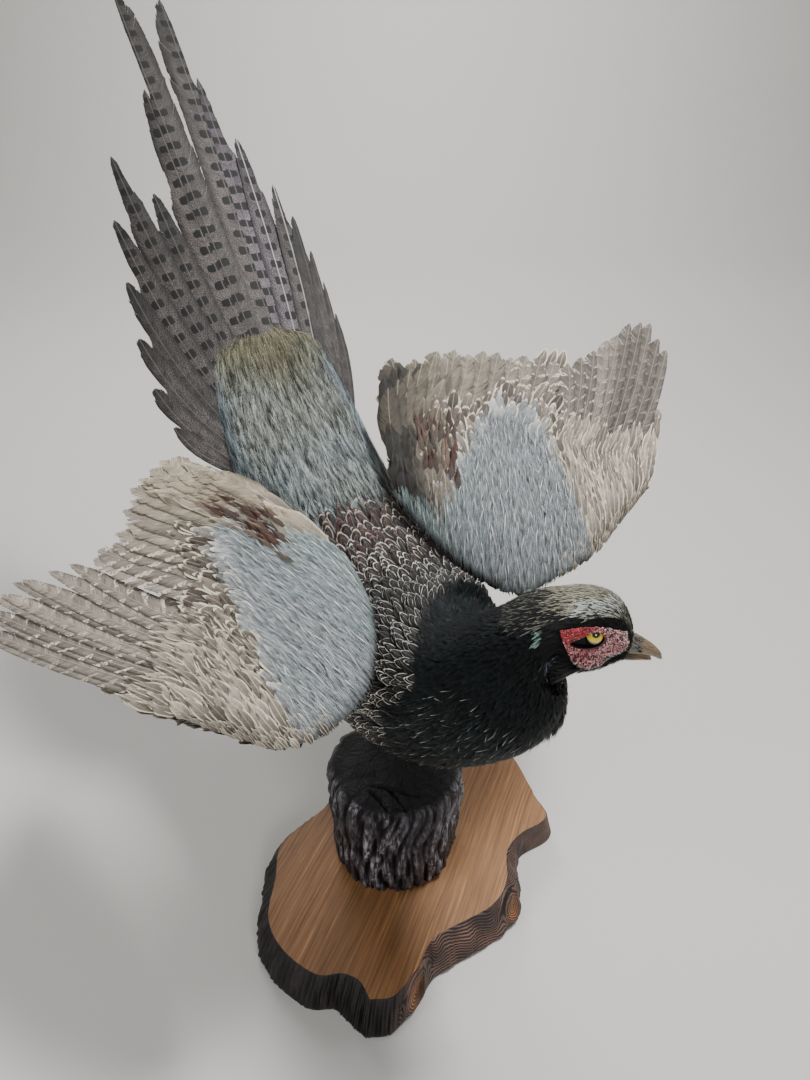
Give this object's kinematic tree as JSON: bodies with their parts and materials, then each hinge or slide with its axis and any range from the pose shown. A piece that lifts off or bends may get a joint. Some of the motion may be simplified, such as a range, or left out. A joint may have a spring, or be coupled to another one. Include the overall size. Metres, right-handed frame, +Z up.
{
  "type": "taxidermy pheasant",
  "caption": "Taxidermy cock green pheasant with half-open wings and raised tail, mounted on a short dark log on a live-edge wooden slab.",
  "frame": {"origin": "on the slab's underside, below the middle of the log", "axes": "+Z up, -Y the way the bird's trunk faces, +X towards the bird's left wing"},
  "size_m": [0.5417, 0.6288, 0.6172],
  "materials": {
    "slab_wood": "satin, oiled pine with a scorched live edge",
    "log_bark": "semi-matt, dark stained bark",
    "plumage_dark": "dense feathers with a blue-green gloss",
    "plumage_grey": "soft blue-grey feathers",
    "flight_feather": "stiff feather vanes",
    "tail_feather": "stiff feather vanes",
    "head_plumage": "short feathers",
    "wattle_skin": "dry granular skin",
    "bill_horn": "satin horn",
    "eye_glass": "polished glass eye",
    "leg_scale": "dry scaled skin"
  },
  "bodies": {
    "root": {"slab": "slab_wood", "log": "log_bark", "trunk": "plumage_grey", "neck": "plumage_dark", "head": "head_plumage", "wattle_right": "wattle_skin", "wattle_left": "wattle_skin", "eye_right": "eye_glass", "eye_left": "eye_glass", "bill_upper": "bill_horn", "bill_lower": "bill_horn", "wing_right": "plumage_grey", "wing_left": "plumage_grey", "primaries_right": "flight_feather", "primaries_left": "flight_feather", "secondaries_right": "flight_feather", "secondaries_left": "flight_feather", "tail": "tail_feather", "thigh_right": "plumage_dark", "thigh_left": "plumage_dark", "leg_right": "leg_scale", "leg_left": "leg_scale"}
  },
  "joints": []
}
